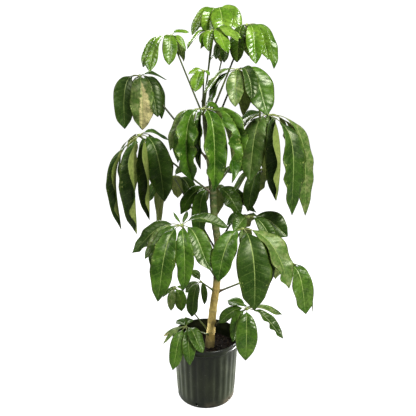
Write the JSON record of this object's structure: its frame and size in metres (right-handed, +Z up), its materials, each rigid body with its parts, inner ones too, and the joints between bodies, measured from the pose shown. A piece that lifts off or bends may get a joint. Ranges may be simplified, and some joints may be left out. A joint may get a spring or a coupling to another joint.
{
  "type": "potted umbrella plant",
  "caption": "Tall umbrella plant: one woody trunk in a ribbed nursery pot, with whorls of hanging leaflets on long stalks. It stands on the floor as a living indoor plant.",
  "frame": {"origin": "on the surface the pot stands on, under the middle of the pot's base", "axes": "+Z up along the pot's axis, the plant's longest direction; +X to the plant's right side seen from its front; +Y towards its back, so its front faces -Y"},
  "size_m": [0.736, 0.6332, 1.4667],
  "materials": {
    "pot_black": "moulded black plastic, slightly dusty, satin on the ribs",
    "potting_mix": "dark moist bark mix with a few pale grains",
    "bark": "tan woody skin low down, green above, with scars of old leaves",
    "leaf_stalk": "smooth olive green",
    "mature_leaf": "glossy dark green with a pale midrib and paler underside",
    "young_leaf": "glossy bright yellow-green"
  },
  "bodies": {
    "root": {"pot": "pot_black", "potting_mix": "potting_mix", "trunk": "bark", "stalk_crown": "leaf_stalk", "leaflets_crown": "young_leaf", "stalk_top_front": "leaf_stalk", "leaflets_top_front": "young_leaf", "stalk_top_right": "leaf_stalk", "leaflets_top_right": "mature_leaf", "stalk_upper_left": "leaf_stalk", "leaflets_upper_left": "young_leaf", "stalk_young_shoot": "leaf_stalk", "leaflets_young_shoot": "young_leaf", "stalk_left_high": "leaf_stalk", "leaflets_left_high": "mature_leaf", "stalk_left_mid": "leaf_stalk", "leaflets_left_mid": "mature_leaf", "stalk_centre_front": "leaf_stalk", "leaflets_centre_front": "mature_leaf", "stalk_right_mid": "leaf_stalk", "leaflets_right_mid": "mature_leaf", "stalk_right_high": "leaf_stalk", "leaflets_right_high": "mature_leaf", "stalk_upper_back": "leaf_stalk", "leaflets_upper_back": "young_leaf", "stalk_centre_back": "leaf_stalk", "leaflets_centre_back": "mature_leaf", "stalk_right_back": "leaf_stalk", "leaflets_right_back": "mature_leaf", "stalk_left_back": "leaf_stalk", "leaflets_left_back": "mature_leaf", "stalk_low_left": "leaf_stalk", "leaflets_low_left": "mature_leaf", "stalk_low_right": "leaf_stalk", "leaflets_low_right": "mature_leaf", "stalk_mid_right": "leaf_stalk", "leaflets_mid_right": "mature_leaf", "stalk_far_right": "leaf_stalk", "leaflets_far_right": "mature_leaf", "stalk_base_back_left": "leaf_stalk", "leaflets_base_back_left": "young_leaf", "stalk_sprout_left": "leaf_stalk", "leaflets_sprout_left": "young_leaf", "stalk_base_left": "leaf_stalk", "leaflets_base_left": "young_leaf", "stalk_base_right": "leaf_stalk", "leaflets_base_right": "mature_leaf"}
  },
  "joints": []
}
